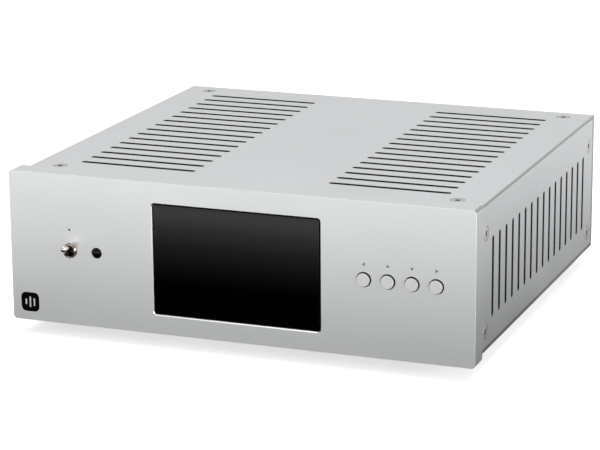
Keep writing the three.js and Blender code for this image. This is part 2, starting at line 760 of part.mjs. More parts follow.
place('front_plate', frontPlate(), FINISH.silver);
place('display_window', displayWindow(), FINISH.glass);
place('display_module', displayModule(), FINISH.steel);
place('front_frame', frontFrame(), FINISH.steel);
place('toggle_switch', toggleSwitch(), FINISH.nickel, [TOGGLE_X, 0, TOGGLE_Z]);
const lever = place(
  'toggle_lever', toggleLever(), FINISH.nickel, [TOGGLE_X, TOGGLE_PIVOT_Y, TOGGLE_Z],
);
lever.rotation.x = -TILT_RADIANS;
place('status_light_pipe', statusLightPipe(), FINISH.black, [TOGGLE_X, 0, STATUS_Z]);
place('ir_window', irWindow(), FINISH.gloss, [DOME_X, 0, TOGGLE_Z]);
['left', 'up', 'down', 'right'].forEach((direction, index) => {
  place(
    `button_${direction}`, pushButton(), FINISH.silver, [keyX(index), -KEY_PROUD, KEY_Z],
  );
});

place('top_cover', topCover(), FINISH.silver);
place('left_side_panel', sidePanel(-1), FINISH.silver);
place('right_side_panel', sidePanel(1), FINISH.silver);
place('bottom_plate', bottomPlate(), FINISH.sheet);
place('rear_panel', rearPanel(), FINISH.silver);
place('rear_frame', rearFrame(), FINISH.steel);
for (const { name, facing, at } of screwPlaces()) {
  place(name, screwBody(), FINISH.steel, at).quaternion.copy(facingTurn(facing));
}
for (const [end, y] of [['front', 40], ['back', 162]]) {
  for (const [side, x] of [['left', -78], ['right', 78]]) {
    place(`foot_${end}_${side}`, foot(), FINISH.rubber, [x, y, CASE_BOTTOM - FOOT_GAP]);
  }
}

const socketAt = (name) => [SOCKETS[name][0], CASE_BACK, SOCKETS[name][1]];
place('balanced_out_left', balancedOut(), FINISH.black, socketAt('balanced_out_left'));
place('balanced_out_right', balancedOut(), FINISH.black, socketAt('balanced_out_right'));
place('aes_in', balancedIn(), FINISH.black, socketAt('aes_in'));
place('aes_latch', latchTab(), FINISH.nickel, socketAt('aes_in'));
for (const name of ['line_out_left', 'line_out_right', 'coaxial_in']) {
  place(name, phonoSocket(), FINISH.gold, socketAt(name));
}
place('optical_in', opticalSocket(), FINISH.black, socketAt('optical_in'));
const [shutterX, , shutterZ] = socketAt('optical_in');
place(
  'optical_shutter', opticalShutter(), FINISH.black,
  [shutterX, CASE_BACK - 1, shutterZ + SHUTTER_HINGE_Z],
);
place('usb_in', usbSocket(), FINISH.steel, socketAt('usb_in'));
place('i2s_in', linkSocket(), FINISH.steel, socketAt('i2s_in'));
place('power_inlet', powerInlet(), FINISH.black, socketAt('power_inlet'));

place('front_board', frontBoard(), FINISH.board);
place('main_board', mainBoard(), FINISH.board);
const { cable, halfWidth } = ribbonCable();
place('ribbon_cable', cable, FINISH.sheet, [-halfWidth, 0, 0]);
for (const [side, x] of [['left', -1], ['right', 1]]) {
  const rest = MAIN_BOARD_TOP + 0.1;
  place(`reservoir_capacitor_${side}`, reservoirCapacitor(), FINISH.sleeve, [x * 14, 118, rest]);
  place(`heat_sink_${side}`, heatSink(), FINISH.fins, [x * 56, 100, rest]);
}
place('shield_can', shieldCan(), FINISH.steel, [0, 88, MAIN_BOARD_TOP + 0.1]);

export default group;
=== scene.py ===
"""Looks of a desktop digital-to-analogue converter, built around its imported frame.

Everything is in metres in the frame's own axes: +X right, +Y back, +Z up.
"""

import json
import math

import bmesh
import bpy
from mathutils import Matrix, Vector


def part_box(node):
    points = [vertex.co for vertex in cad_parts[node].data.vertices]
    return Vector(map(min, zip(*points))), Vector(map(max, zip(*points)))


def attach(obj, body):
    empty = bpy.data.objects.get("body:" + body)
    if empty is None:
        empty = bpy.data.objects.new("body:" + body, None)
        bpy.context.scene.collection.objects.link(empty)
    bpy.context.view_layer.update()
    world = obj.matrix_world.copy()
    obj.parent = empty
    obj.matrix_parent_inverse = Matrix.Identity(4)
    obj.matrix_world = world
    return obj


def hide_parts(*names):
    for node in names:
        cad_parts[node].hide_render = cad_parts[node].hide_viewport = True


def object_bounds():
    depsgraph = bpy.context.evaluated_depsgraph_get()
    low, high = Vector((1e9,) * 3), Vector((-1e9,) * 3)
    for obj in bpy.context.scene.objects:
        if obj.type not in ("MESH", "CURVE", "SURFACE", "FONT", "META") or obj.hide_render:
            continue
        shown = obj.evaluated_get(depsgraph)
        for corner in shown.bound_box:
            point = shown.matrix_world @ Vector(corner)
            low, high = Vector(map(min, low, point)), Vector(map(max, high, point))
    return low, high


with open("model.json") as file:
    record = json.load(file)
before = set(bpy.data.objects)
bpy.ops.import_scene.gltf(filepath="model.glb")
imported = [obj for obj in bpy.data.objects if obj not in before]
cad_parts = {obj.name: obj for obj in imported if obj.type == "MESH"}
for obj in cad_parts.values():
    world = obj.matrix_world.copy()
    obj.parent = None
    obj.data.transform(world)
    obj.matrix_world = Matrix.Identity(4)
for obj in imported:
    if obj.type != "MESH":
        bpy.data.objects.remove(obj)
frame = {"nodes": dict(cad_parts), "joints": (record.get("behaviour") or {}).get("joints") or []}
cad_low, cad_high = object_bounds()
MM = 0.001
scene = bpy.context.scene

# ---- camera -------------------------------------------------------------
CAMERA_PLACE = Vector((0.37318, -0.98477, 0.31689))
CAMERA_AZIMUTH = math.radians(21.204)
CAMERA_ELEVATION = math.radians(15.110)
CAMERA_ROLL = math.radians(-0.4556)
CAMERA_LENS = 146.63


def make_camera():
    """A long lens to the front right of the object, a little above it."""
    data = bpy.data.cameras.new("camera")
    data.lens = CAMERA_LENS
    data.sensor_width = 36
    data.clip_start, data.clip_end = 0.05, 50
    camera = bpy.data.objects.new("camera", data)
    scene.collection.objects.link(camera)
    level = math.cos(CAMERA_ELEVATION)
    back = Vector((
        math.sin(CAMERA_AZIMUTH) * level,
        -math.cos(CAMERA_AZIMUTH) * level,
        math.sin(CAMERA_ELEVATION),
    ))
    right = Vector((math.cos(CAMERA_AZIMUTH), math.sin(CAMERA_AZIMUTH), 0))
    turn = Matrix((right, back.cross(right), back)).transposed()
    roll = Matrix.Rotation(CAMERA_ROLL, 3, "Z")
    camera.matrix_world = Matrix.Translation(CAMERA_PLACE) @ (turn @ roll).to_4x4()
    scene.camera = camera


make_camera()


# ---- finishes and painted shade -----------------------------------------
NOISE_RANGE = (0.3, 0.7)  # Most of a noise texture's values lie between these two.
BROAD_SIZE = 45 * MM


def noise(tree, where, size, detail):
    """A noise texture with features of about the given size in metres."""
    texture = tree.nodes.new("ShaderNodeTexNoise")
    texture.inputs["Scale"].default_value = 1 / size
    texture.inputs["Detail"].default_value = detail
    tree.links.new(where, texture.inputs["Vector"])
    return texture.outputs["Fac"]


def ranged(tree, value, low, high):
    """The middle of a noise value's range, spread from low to high."""
    spread = tree.nodes.new("ShaderNodeMapRange")
    spread.inputs["From Min"].default_value, spread.inputs["From Max"].default_value = NOISE_RANGE
    spread.inputs["To Min"].default_value = low
    spread.inputs["To Max"].default_value = high
    tree.links.new(value, spread.inputs["Value"])
    return spread.outputs["Result"]


def finish(name, colour, roughness, metallic=0.0, grain=0.25, relief=0.0, tone=0.02,
           gloss=0.03, stretch=(1, 1, 1), specular=0.5):
    """A procedural finish. Grain is its texture's size and relief its height, both in millimetres.

    Tone and gloss say how far its colour and its roughness wander, and stretch how much longer
    the grain is along each axis.
    """
    material = bpy.data.materials.new(name)
    material.use_nodes = True
    tree = material.node_tree
    shader = tree.nodes["Principled BSDF"]
    shader.inputs["Metallic"].default_value = metallic
    shader.inputs["Specular IOR Level"].default_value = specular
    coordinates = tree.nodes.new("ShaderNodeTexCoord").outputs["Object"]
    mapping = tree.nodes.new("ShaderNodeMapping")
    mapping.inputs["Scale"].default_value = [1 / amount for amount in stretch]
    tree.links.new(coordinates, mapping.inputs["Vector"])
    fine = noise(tree, mapping.outputs["Vector"], grain * MM, 3)
    broad = noise(tree, coordinates, BROAD_SIZE, 2)

    mix = tree.nodes.new("ShaderNodeMix")
    mix.data_type = "RGBA"
    mix.inputs["A"].default_value = [value * (1 - tone) for value in colour] + [1]
    mix.inputs["B"].default_value = [min(1, value * (1 + tone)) for value in colour] + [1]
    tree.links.new(ranged(tree, fine, 0, 1), mix.inputs["Factor"])
    tree.links.new(mix.outputs["Result"], shader.inputs["Base Color"])

    both = tree.nodes.new("ShaderNodeMath")
    both.operation = "ADD"
    tree.links.new(ranged(tree, fine, roughness - gloss, roughness + gloss), both.inputs[0])
    tree.links.new(ranged(tree, broad, -gloss / 2, gloss / 2), both.inputs[1])
    tree.links.new(both.outputs["Value"], shader.inputs["Roughness"])

    if relief:
        bump = tree.nodes.new("ShaderNodeBump")
        bump.inputs["Distance"].default_value = relief * MM
        tree.links.new(fine, bump.inputs["Height"])
        tree.links.new(bump.outputs["Normal"], shader.inputs["Normal"])
    return material


BLASTED = finish("blasted_aluminium", (0.80, 0.815, 0.82), 0.5, 1, grain=0.16, relief=0.004)
MILLED = finish("milled_edge", (0.86, 0.87, 0.87), 0.3, 1, grain=0.2, relief=0.002)
SATIN = finish("satin_aluminium", (0.79, 0.805, 0.815), 0.5, 1, grain=0.2, relief=0.004)
# A darker grey for the sheets' outer edges: painted shade along the cover's and the rear panel's
# edges, and a painted dark reflection on the front plate's upper corners.
EDGE_PAINTED_SHADE = finish("edge_painted_shade", (0.50, 0.515, 0.52), 0.5, 1, grain=0.12, relief=0.006)
# Near-black walls for the slots and countersinks in the cover and side sheets: painted shade where
# the dark inside of the case shows.
SLOT_PAINTED_SHADE = finish("slot_painted_shade", (0.02, 0.021, 0.022), 0.6, 0.5, grain=0.2, relief=0.006)
KEY_FACE = finish("turned_aluminium", (0.84, 0.85, 0.85), 0.5, 1, grain=0.15, relief=0.002)
# Near black for the keys' side walls: painted shade for the dark gap around each key.
KEY_SIDE_PAINTED_SHADE = finish("key_side_painted_shade", (0.12, 0.122, 0.124), 0.5, 1, grain=0.15, relief=0.002)
STEEL = finish("zinc_sheet", (0.55, 0.56, 0.57), 0.42, 1, grain=0.6, relief=0.003, tone=0.08)
SCREW = finish("screw_nickel", (0.72, 0.72, 0.715), 0.5, 1, grain=0.1, relief=0.002)
# A darker copy of the screw nickel for the heads on the cover: painted shade for the dark
# reflection they show.
COVER_SCREW_PAINTED_SHADE = finish("cover_screw_painted_shade", (0.60, 0.605, 0.61), 0.5, 1, grain=0.1, relief=0.002)
# Dark grey for the screws' key sockets: painted shade in the recess.
SOCKET_PAINTED_SHADE = finish("screw_socket_painted_shade", (0.16, 0.16, 0.16), 0.45, 1, grain=0.1)
NICKEL = finish("bright_nickel", (0.80, 0.75, 0.67), 0.1, 1, grain=0.3, gloss=0.02, tone=0.04)
# A dark brownish copy of the nickel for the toggle's bushing: a painted dark reflection.
BUSHING_PAINTED_REFLECTION = finish("nickel_painted_dark_reflection", (0.36, 0.31, 0.27), 0.2, 1, grain=0.3, gloss=0.04, tone=0.06)
GLASS = finish("black_glass", (0.0003, 0.0003, 0.0004), 0.04, 0, grain=8, gloss=0.005,
               specular=0.45)
DOME = finish("infrared_dome", (0.002, 0.002, 0.003), 0.07, 0, grain=1, gloss=0.01, specular=0.25)
SMOKED = finish("smoked_lens", (0.08, 0.08, 0.082), 0.35, 0, grain=0.5)
MOULDED = finish("moulded_black", (0.022, 0.022, 0.024), 0.5, 0, grain=0.35, relief=0.02, tone=0.1)
GOLD = finish("gold_plate", (0.88, 0.66, 0.30), 0.2, 1, grain=0.2, relief=0.001, tone=0.05)
TINNED = finish("tinned_shell", (0.66, 0.67, 0.68), 0.3, 1, grain=0.5, relief=0.002, tone=0.06)
RED = finish("red_insulator", (0.42, 0.02, 0.02), 0.4, 0, grain=0.3, relief=0.004, tone=0.05)
WHITE = finish("white_insulator", (0.75, 0.75, 0.72), 0.4, 0, grain=0.3, relief=0.004)
ORANGE = finish("orange_insulator", (0.65, 0.20, 0.02), 0.4, 0, grain=0.3, relief=0.004)
RUBBER = finish("foot_rubber", (0.02, 0.02, 0.02), 0.75, 0, grain=0.3, relief=0.03, tone=0.15)
INK = finish("grey_ink", (0.16, 0.165, 0.17), 0.6, 0, grain=0.1, relief=0.002, tone=0.06)
MARK_INK = finish("black_ink", (0.0005, 0.0005, 0.0005), 0.5, 0, grain=0.1, relief=0.002,
                  specular=0.05)
BOARD = finish("circuit_board", (0.010, 0.055, 0.032), 0.45, 0, grain=0.9, relief=0.02, tone=0.5)
RIBBON = finish("ribbon", (0.30, 0.31, 0.33), 0.55, 0, grain=0.6, relief=0.05, tone=0.12,
                stretch=(1, 60, 60))
SLEEVE = finish("capacitor_sleeve", (0.02, 0.022, 0.03), 0.35, 0, grain=1, relief=0.01)
BLACK_FINS = finish("black_fins", (0.02, 0.02, 0.022), 0.45, 0.6, grain=0.4, relief=0.006,
                    stretch=(1, 30, 1))

# ---- outlines -----------------------------------------------------------
# An outline is a function from how far it is grown all round to its points.
SMALLEST_CORNER = 0.005 * MM


def rounded(middle, size, corner, steps=6):
    """A rectangle with round corners."""
    def points(grow):
        radius = max(corner + grow, SMALLEST_CORNER)
        half = [length / 2 + grow - radius for length in size]
        found = []
        for quarter, side in enumerate(((1, 1), (-1, 1), (-1, -1), (1, -1))):
            for step in range(steps + 1):
                angle = (quarter + step / steps) * math.pi / 2
                found.append((
                    middle[0] + side[0] * half[0] + radius * math.cos(angle),
                    middle[1] + side[1] * half[1] + radius * math.sin(angle),
                ))
        return found
    return points


def circle(middle, radius, steps=48, turn=0.0):
    """A circle, or a polygon where it has few steps."""
    def points(grow):
        angles = [turn + 2 * math.pi * step / steps for step in range(steps)]
        return [
            (middle[0] + (radius + grow) * math.cos(a), middle[1] + (radius + grow) * math.sin(a))
            for a in angles
        ]
    return points


def slot_outline(middle, length, width, along, steps=8):
    """A slot with round ends: its length runs along the first axis (0) or the second (1)."""
    def points(grow):
        found = []
        for end in (1, -1):
            for step in range(steps + 1):
                angle = (step / steps - 0.5) * math.pi
                far = end * ((length - width) / 2 + (width / 2 + grow) * math.cos(angle))
                across = end * (width / 2 + grow) * math.sin(angle)
                pair = (far, across) if along == 0 else (across, far)
                found.append((middle[0] + pair[0], middle[1] + pair[1]))
        return found
    return points


# ---- edges: (inset, depth) from the front face to the back ---------------
def round_edge(radius, steps=3):
    """The rings of a quarter round, from the face to where the wall starts."""
    turns = [math.pi / 2 * step / steps for step in range(steps + 1)]
    return [(radius * (1 - math.sin(t)), radius * (1 - math.cos(t))) for t in turns]


def through(depth, front, back=0.0, steps=3):
    """The wall of a sheet of that depth, with its front and back edges rounded."""
    rings = round_edge(front, steps) if front else [(0, 0)]
    far = [(inset, depth - down) for inset, down in reversed(round_edge(back, steps))]
    return rings + (far if back else [(0, depth)])


# ---- mesh building ------------------------------------------------------
ON_AXIS = 1e-9  # A turned profile's point with a smaller radius is a single vertex.
SIDEWAYS = 0.3  # A face is side-on to an axis where its normal's part along it is smaller.
X_AXIS, Y_AXIS, Z_AXIS = Vector((1, 0, 0)), Vector((0, 1, 0)), Vector((0, 0, 1))
FACES = {
    "front": (X_AXIS, Z_AXIS, -Y_AXIS),
    "rear": (X_AXIS, Z_AXIS, Y_AXIS),
    "top": (X_AXIS, Y_AXIS, Z_AXIS),
    "bottom": (X_AXIS, Y_AXIS, -Z_AXIS),
    "left": (Y_AXIS, Z_AXIS, -X_AXIS),
    "right": (Y_AXIS, Z_AXIS, X_AXIS),
}


def on_face(face, level):
    """Maps (u, v, depth) to space for a sheet whose outer face lies at that level of its axis."""
    across, up, normal = FACES[face]
    base = Vector([abs(value) * level for value in normal])
    return lambda u, v, depth: base + across * u + up * v - normal * depth


def wall(bm, place, outline, side, rings, material):
    """A sheet's side along one outline. Returns the edges of its first and its last ring."""
    loops = [
        [bm.verts.new(place(u, v, depth)) for u, v in outline(side * inset)]
        for inset, depth in rings
    ]
    for near, far in zip(loops, loops[1:]):
        for index in range(len(near)):
            corner = (near[index - 1], near[index], far[index], far[index - 1])
            bm.faces.new(corner).material_index = material

    def edges(loop):
        pairs = [(loop[index - 1], loop[index]) for index in range(len(loop))]
        return [bm.edges.get(pair) or bm.edges.new(pair) for pair in pairs]
    return edges(loops[0]), edges(loops[-1])


def fill(bm, edges, material=0):
    """Closes the area between closed loops of edges with triangles."""
    filled = bmesh.ops.triangle_fill(bm, use_beauty=True, edges=edges)
    for item in filled["geom"]:
        if isinstance(item, bmesh.types.BMFace):
            item.material_index = material


def panel(bm, place, outer, holes=(), blind=(), material=0):
    """A sheet with holes through it and blind ones, each an (outline, rings, wall material)."""
    outline, rings, wall_material = outer
    front, back = wall(bm, place, outline, -1, rings, wall_material)
    for outline, rings, wall_material in holes:
        near, far = wall(bm, place, outline, 1, rings, wall_material)
        front += near
        back += far
    for outline, rings, wall_material in blind:
        near, far = wall(bm, place, outline, 1, rings, wall_material)
        front += near
        fill(bm, far, wall_material)
    fill(bm, front, material)
    fill(bm, back, material)


def turned(bm, origin, direction, profile, segments=48, material=0):
    """A turned body about a line: (radius, height) pairs from one end of its axis to the other."""
    spin = Z_AXIS.rotation_difference(Vector(direction)).to_matrix()
    rings = []
    for radius, height in profile:
        count = segments if radius > ON_AXIS else 1
        rings.append([
            bm.verts.new(Vector(origin) + spin @ Vector((
                radius * math.cos(2 * math.pi * k / segments),
                radius * math.sin(2 * math.pi * k / segments),
                height,
            )))
            for k in range(count)
        ])
    for near, far in zip(rings, rings[1:]):
        for k in range(segments):
            corners = []
            for ring, order in ((near, (k - 1, k)), (far, (k, k - 1))):
                corners += [ring[0]] if len(ring) == 1 else [ring[index] for index in order]
            if len(corners) > 2:
                bm.faces.new(corners).material_index = material


def arc(centre, radius, start, end, steps):
    """Points of a turned profile along an arc, with its angles in degrees from the radius' side."""
    found = []
    for step in range(steps + 1):
        angle = math.radians(start + (end - start) * step / steps)
        found.append((centre[0] + radius * math.cos(angle), centre[1] + radius * math.sin(angle)))
    return found


def block(bm, low, high, edge=0.0, material=0):
    """A box between two corners, with its edges rounded."""
    low, high = Vector(low), Vector(high)
    size = Matrix.Diagonal((*(high - low), 1))
    made = bmesh.ops.create_cube(bm, size=1, matrix=Matrix.Translation((low + high) / 2) @ size)
    edges = {e for v in made["verts"] for e in v.link_edges}
    faces = {f for v in made["verts"] for f in v.link_faces}
    for face in faces:
        face.material_index = material
    if edge:
        bmesh.ops.bevel(
            bm, geom=list(edges), offset=edge, segments=3, profile=0.5, affect="EDGES",
            material=-1,
        )


def piece(name, bm, body, nodes, slot, *materials, smooth=40):
    """Turns a mesh into a named piece that rides on a body and stands for its CAD nodes."""
    bmesh.ops.recalc_face_normals(bm, faces=bm.faces)
    mesh = bpy.data.meshes.new(name)
    bm.to_mesh(mesh)
    bm.free()
    for material in materials:
        mesh.materials.append(material)
    mesh.polygons.foreach_set("use_smooth", [True] * len(mesh.polygons))
    mesh.set_sharp_from_angle(angle=math.radians(smooth))
    made = bpy.data.objects.new(name, mesh)
    scene.collection.objects.link(made)
    weighted = made.modifiers.new("weighted_normals", "WEIGHTED_NORMAL")
    weighted.keep_sharp = True
    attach(made, body)
    if nodes:
        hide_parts(*nodes)
    return made


def middle(node):
    """The middle of a CAD node's box."""
    low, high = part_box(node)
    return (low + high) / 2


# ---- front plate --------------------------------------------------------
plate_low, plate_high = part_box("front_plate")
glass_low, glass_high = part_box("display_window")
KEYS = ("left", "up", "down", "right")
KEY_HOLE_R = 3.15 * MM
KEY_POCKET_DEPTH = 6 * MM
KEY_POCKET_STEP = 0.9 * MM
BUSHING_HOLE_R = 3.1 * MM
STATUS_HOLE_R = 0.5 * MM
DOME_HOLE_R = 2.32 * MM
WINDOW_CORNER = 1.2 * MM
WINDOW_CHAMFER = 0.4 * MM
PLATE_CORNER = 1.8 * MM
PLATE_EDGE = 0.15 * MM
GLASS_GAP = 0.35 * MM
toggle_axis = middle("toggle_switch")
dome_axis = middle("ir_window")
status_axis = middle("status_light_pipe")


def paint_shade_on_upper_corners(bm):
    """Gives the slanted faces of the plate's two upper corners the darker grey of the cover's edge:
    a painted dark reflection.
    """
    bm.normal_update()
    for face in bm.faces:
        spot = face.calc_center_median()
        near_top = spot.z > plate_high.z - PLATE_CORNER
        near_side = abs(spot.x) > plate_high.x - PLATE_CORNER
        if near_top and near_side and min(abs(face.normal.x), abs(face.normal.z)) > SIDEWAYS:
            face.material_index = 2


def build_front_plate():
    depth = plate_high.y - plate_low.y
    window_size = (
        glass_high.x - glass_low.x + 2 * GLASS_GAP, glass_high.z - glass_low.z + 2 * GLASS_GAP,
    )
    glass = (glass_low + glass_high) / 2
    whole = (plate_low + plate_high) / 2
    fine_edge = through(depth, 0.08 * MM)
    holes = [
        (rounded((glass.x, glass.z), window_size, WINDOW_CORNER),
         [(WINDOW_CHAMFER, 0), (0, WINDOW_CHAMFER), (0, depth)], 1),
        (circle((toggle_axis.x, toggle_axis.z), BUSHING_HOLE_R), fine_edge, 1),
        (circle((status_axis.x, status_axis.z), STATUS_HOLE_R, 24), fine_edge, 1),
        (circle((dome_axis.x, dome_axis.z), DOME_HOLE_R), fine_edge, 1),
    ]
    for key in KEYS:
        axis = middle(f"button_{key}")
        rings = [
            *round_edge(0.1 * MM), (0, KEY_POCKET_DEPTH), (KEY_POCKET_STEP, KEY_POCKET_DEPTH),
            (KEY_POCKET_STEP, depth),
        ]
        holes.append((circle((axis.x, axis.z), KEY_HOLE_R, 64), rings, 1))
    bm = bmesh.new()
    size = (plate_high.x - plate_low.x, plate_high.z - plate_low.z)
    edge = through(depth, PLATE_EDGE, 0.3 * MM, 3)
    outer = (rounded((whole.x, whole.z), size, PLATE_CORNER, 10), edge, 0)
    panel(bm, on_face("front", plate_low.y), outer, holes)
    paint_shade_on_upper_corners(bm)
    piece(
        "front_plate_shell", bm, "case", ["front_plate"], "front_aluminium",
        BLASTED, MILLED, EDGE_PAINTED_SHADE,
    )


def build_window():
    glass = (glass_low + glass_high) / 2
    size = (glass_high.x - glass_low.x, glass_high.z - glass_low.z)
    bm = bmesh.new()
    edge = through(glass_high.y - glass_low.y, 0.2 * MM, 0.1 * MM)
    outer = (rounded((glass.x, glass.z), size, 0.9 * MM), edge, 0)
    panel(bm, on_face("front", glass_low.y), outer)
    piece("display_glass", bm, "case", ["display_window"], "window_glass", GLASS)


def build_status_lens():
    radius, edge = 0.42 * MM, 0.08 * MM
    low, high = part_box("status_light_pipe")
    end = low.y - high.y
    bm = bmesh.new()
    profile = [(0, 0), (radius - edge, 0), (radius, -edge), (radius, end), (0, end)]
    turned(bm, (status_axis.x, low.y, status_axis.z), -Y_AXIS, profile, 24)
    piece("status_lens", bm, "case", ["status_light_pipe"], "light_pipe", SMOKED)


def build_dome():
    low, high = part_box("ir_window")
    radius, crown = 2.2 * MM, 0.9 * MM
    sphere = (radius ** 2 + crown ** 2) / (2 * crown)
    half_angle = math.degrees(math.asin(radius / sphere))
    cap = arc((0, crown - sphere), sphere, 90, 90 - half_angle, 8)
    bm = bmesh.new()
    end = crown - (high.y - low.y)
    profile = [(0, crown), *cap[1:], (radius, end), (0, end)]
    turned(bm, (dome_axis.x, low.y + crown, dome_axis.z), -Y_AXIS, profile, 64)
    piece("infrared_window", bm, "case", ["ir_window"], "dome_plastic", DOME)


def build_keys():
    cap, collar, stem, edge = 2.8 * MM, 3.9 * MM, 1.5 * MM, 0.1 * MM
    flat = cap - edge - 0.08 * MM
    collar_front, collar_back, stem_end = -7.4 * MM, -8.4 * MM, -12.3 * MM
    for key in KEYS:
        axis = middle(f"button_{key}")
        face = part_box(f"button_{key}")[0].y
        profile = [
            (0, 0), (flat, 0), *reversed(arc((cap - edge, -edge), edge, 0, 90, 3)),
            (cap, collar_front),
            (collar, collar_front), (collar, collar_back), (stem, collar_back), (stem, stem_end),
            (0, stem_end),
        ]
        bm = bmesh.new()
        turned(bm, (axis.x, face, axis.z), -Y_AXIS, profile, 64)
        bm.normal_update()
        # Each key's side wall gets the near-black painted shade.
        for side in (item for item in bm.faces if abs(item.normal.y) < SIDEWAYS):
            side.material_index = 1
        piece(
            f"key_{key}_cap", bm, f"key_{key}", [f"button_{key}"], "button_aluminium",
            KEY_FACE, KEY_SIDE_PAINTED_SHADE,
        )


def build_key_symbols():
    """Small printed triangles over the keys, each pointing the way that its key moves."""
    side, height, lift = 0.88 * MM, 6.4 * MM, 0.02 * MM
    turns = {"left": 180, "up": 90, "down": -90, "right": 0}
    bm = bmesh.new()
    for key, turn in turns.items():
        axis = middle(f"button_{key}")
        centre = (axis.x, axis.z + height)
        shape = circle(centre, side, 3, math.radians(turn))
        outer = (shape, [(0, 0), (0, 2 * lift)], 0)
        panel(bm, on_face("front", plate_low.y - lift), outer)
    piece("key_symbols", bm, "case", [], None, INK)


def build_mark():
    """A plain badge, three bars in a dark square, in the lower left corner of the plate."""
    centre = (plate_low.x + 8.1 * MM, plate_low.z + 8 * MM)
    size, corner, lift = 8.4 * MM, 2.2 * MM, 0.02 * MM
    bar_width, bar_pitch = 0.8 * MM, 1.9 * MM
    bar_heights = (2.6 * MM, 4.8 * MM, 3.6 * MM)
    bars = []
    for index, height in enumerate(bar_heights):
        x = centre[0] + (index - 1) * bar_pitch
        outline = slot_outline((x, centre[1]), height, bar_width, 1, 5)
        bars.append((outline, [(0, 0), (0, 2 * lift)], 0))
    bm = bmesh.new()
    outer = (rounded(centre, (size, size), corner), [(0, 0), (0, 2 * lift)], 0)
    panel(bm, on_face("front", plate_low.y - lift), outer, bars)
    piece("corner_mark", bm, "case", [], None, MARK_INK)


# ---- toggle switch ------------------------------------------------------
def build_toggle():
    low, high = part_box("toggle_switch")
    bore, outside, pitch = 2.35 * MM, 2.95 * MM, 0.5 * MM
    bore_depth, thread_end, bushing_end = 10 * MM, 12 * MM, 13.8 * MM
    rim = low.y
    profile = [(0, -bore_depth), (bore, -bore_depth), (bore, -0.2 * MM), (bore + 0.2 * MM, 0)]
    profile += reversed(arc((outside - 0.3 * MM, -0.3 * MM), 0.3 * MM, 0, 90, 3))
    thread = -0.55 * MM
    while thread > -thread_end:
        profile += [(outside, thread), (outside - 0.22 * MM, thread - pitch / 2)]
        thread -= pitch
    profile += [(outside, -bushing_end), (0, -bushing_end)]
    bm = bmesh.new()
    turned(bm, (toggle_axis.x, rim, toggle_axis.z), -Y_AXIS, profile, 64)
    body_front, body_back = rim + 13.6 * MM, rim + 22.7 * MM
    block(bm, (low.x, body_front, low.z), (high.x, body_back, high.z), 0.3 * MM, 1)
    terminal_pitch = 4.4
    for offset in (-terminal_pitch, 0, terminal_pitch):
        z = toggle_axis.z + offset * MM
        block(
            bm, (toggle_axis.x - 1 * MM, body_back - 0.1 * MM, z - 0.4 * MM),
            (toggle_axis.x + 1 * MM, high.y, z + 0.4 * MM), 0.1 * MM,
        )
    # The bushing and the terminals take the dark nickel with its painted reflection.
    piece("toggle_bushing", bm, "case", ["toggle_switch"], "nickel", BUSHING_PAINTED_REFLECTION, MOULDED, smooth=30)


def build_lever():
    joint = next(j for j in frame["joints"] if j["name"] == "toggle_throw")
    pivot = Vector(joint["pos_m"])
    tilt = math.radians(12.5)
    reach, tip, neck, ball, tail = 11.06 * MM, 1.375 * MM, 0.95 * MM, 1.9 * MM, 0.8 * MM
    tail_end = -3.8 * MM
    tip_centre = reach - tip
    neck_start = 2.2 * MM
    profile = [(0, reach), *reversed(arc((0, tip_centre), tip, 0, 90, 10)[:-1])]
    profile += [
        (neck + (tip - neck) * share, neck_start + (tip_centre - neck_start) * share)
        for share in (0.85, 0.6, 0.35, 0.12, 0)
    ]
    profile += [*reversed(arc((0, 0), ball, -65, 58, 12)), (tail, tail_end), (0, tail_end)]
    direction = Vector((0, -math.cos(tilt), math.sin(tilt)))
    bm = bmesh.new()
    turned(bm, pivot, direction, profile, 48)
    piece("toggle_bat", bm, "lever", ["toggle_lever"], "nickel", NICKEL)


# ---- covers -------------------------------------------------------------
SLOT_COUNT = 16
SLOT_PITCH = 9.5 * MM
SLOT_WIDTH = 2.4 * MM
TOP_SLOT_LENGTH = 52.8 * MM
TOP_SLOT_X = 56.6 * MM
SIDE_SLOT_LENGTH = 34 * MM
SIDE_SLOT_RISE = 0.4 * MM
DEBURR = 0.15 * MM
SCREW_HEAD_R = 2.95 * MM
SCREW_GAP = 0.1 * MM
CONE_MOUTH = 0.15 * MM
CONE_DEPTH = 1.45 * MM
PILLAR_X = 80 * MM
PILLAR_Y = (-61 * MM, 2 * MM, 63 * MM)
PILLAR_R = 3 * MM
cover_low, cover_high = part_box("top_cover")
slot_middle_y = middle("cover_screw_front_left").y / 2 + middle("cover_screw_back_left").y / 2


def slot_places():
    """The places of a bank's slots along the case."""
    first = slot_middle_y - (SLOT_COUNT - 1) / 2 * SLOT_PITCH
    return [first + index * SLOT_PITCH for index in range(SLOT_COUNT)]


def screw_hole(centre, depth, material):
    """A countersunk hole: a short straight mouth, the cone and the shank's clearance."""
    rings = [(0.04 * MM, 0), (0, 0.04 * MM), (0, CONE_MOUTH)]
    deep = min(CONE_MOUTH + CONE_DEPTH, depth)
    reach = deep - CONE_MOUTH
    rings += [(-reach, deep), (-reach, depth)][: 1 if deep == depth else 2]
    return circle(centre, SCREW_HEAD_R + SCREW_GAP, 48), rings, material


